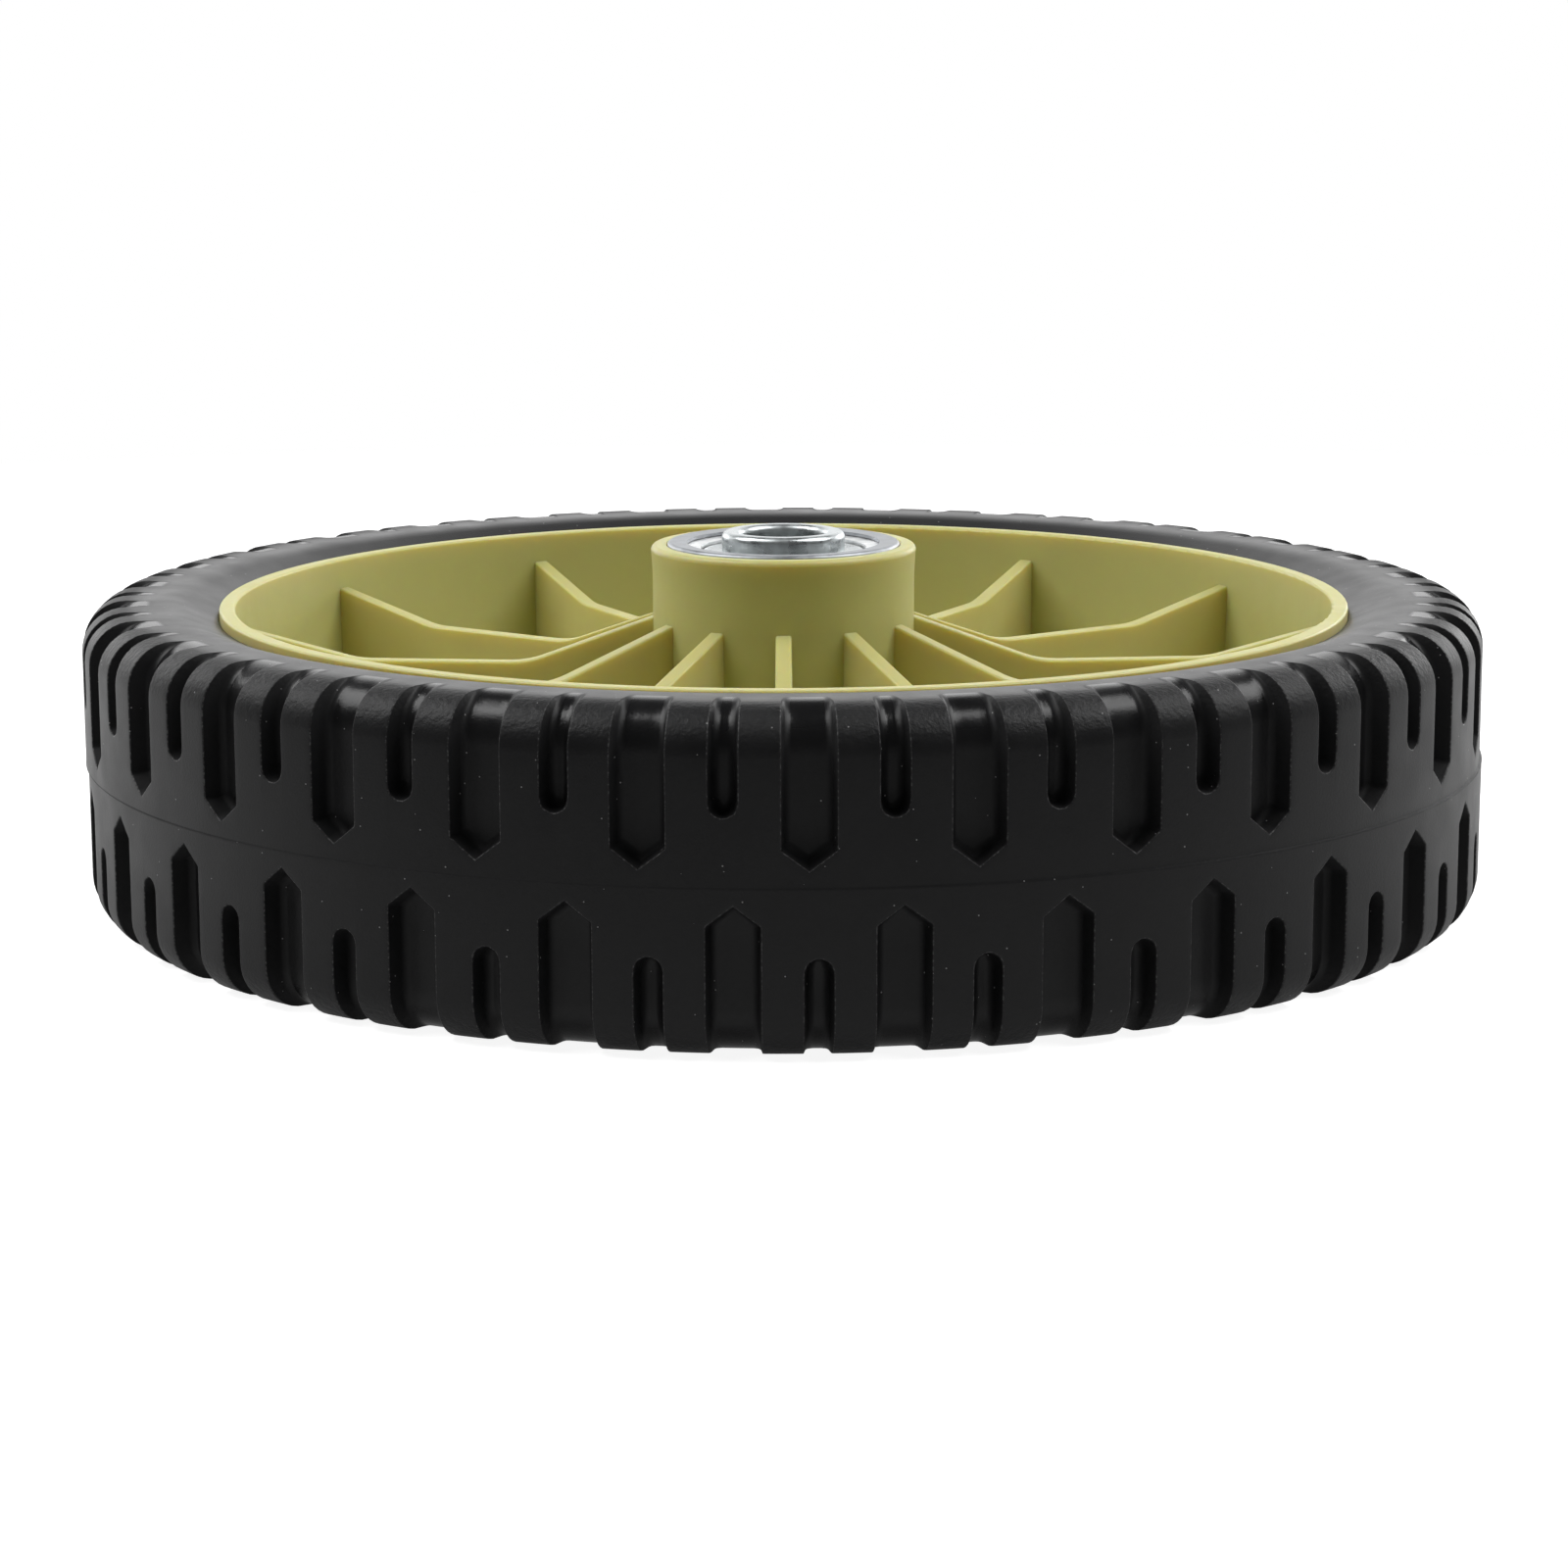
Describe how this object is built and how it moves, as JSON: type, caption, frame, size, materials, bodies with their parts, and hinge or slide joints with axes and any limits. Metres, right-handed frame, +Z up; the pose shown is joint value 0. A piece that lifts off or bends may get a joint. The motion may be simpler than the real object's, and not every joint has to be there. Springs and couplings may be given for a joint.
{
  "type": "lawn mower wheel",
  "caption": "Small lawn mower wheel: solid treaded tyre on a ribbed plastic rim, with ball bearings in a hub tube that stands out on one side.",
  "frame": {"origin": "on the axle line, in the plane that the tyre's lower sidewall lies on", "axes": "+Z up the axle towards the hub end that stands out; X and Y across the wheel, with ribs along both"},
  "size_m": [0.2032, 0.2032, 0.0531],
  "materials": {
    "tyre_rubber": "satin moulded black rubber",
    "wheel_plastic": "olive yellow moulded plastic with a soft sheen",
    "zinc_steel": "bright zinc plate with a blue tint",
    "ball_steel": "ground and polished"
  },
  "bodies": {
    "wheel": {"tyre": "tyre_rubber", "wheel_moulding": "wheel_plastic", "upper_outer_race": "zinc_steel", "upper_shield": "zinc_steel", "lower_outer_race": "zinc_steel", "lower_shield": "zinc_steel"},
    "upper_ring": {"upper_inner_ring": "zinc_steel"},
    "upper_ball_set": {"upper_balls": "ball_steel"},
    "lower_ring": {"lower_inner_ring": "zinc_steel"},
    "lower_ball_set": {"lower_balls": "ball_steel"}
  },
  "joints": [
    {"name": "upper_ring_spin", "type": "hinge", "parent": "wheel", "child": "upper_ring", "pos_m": [0, 0, 0.04573], "axis": [0, 0, 1], "continuous": true},
    {"name": "upper_balls_roll", "type": "hinge", "parent": "wheel", "child": "upper_ball_set", "pos_m": [0, 0, 0.04573], "axis": [0, 0, 1], "continuous": true},
    {"name": "lower_ring_spin", "type": "hinge", "parent": "wheel", "child": "lower_ring", "pos_m": [0, 0, 0.00972], "axis": [0, 0, 1], "continuous": true},
    {"name": "lower_balls_roll", "type": "hinge", "parent": "wheel", "child": "lower_ball_set", "pos_m": [0, 0, 0.00972], "axis": [0, 0, 1], "continuous": true}
  ],
  "couplings": [
    {"joint": "upper_balls_roll", "follows": "upper_ring_spin", "ratio": 0.37335},
    {"joint": "lower_balls_roll", "follows": "lower_ring_spin", "ratio": 0.37335}
  ]
}
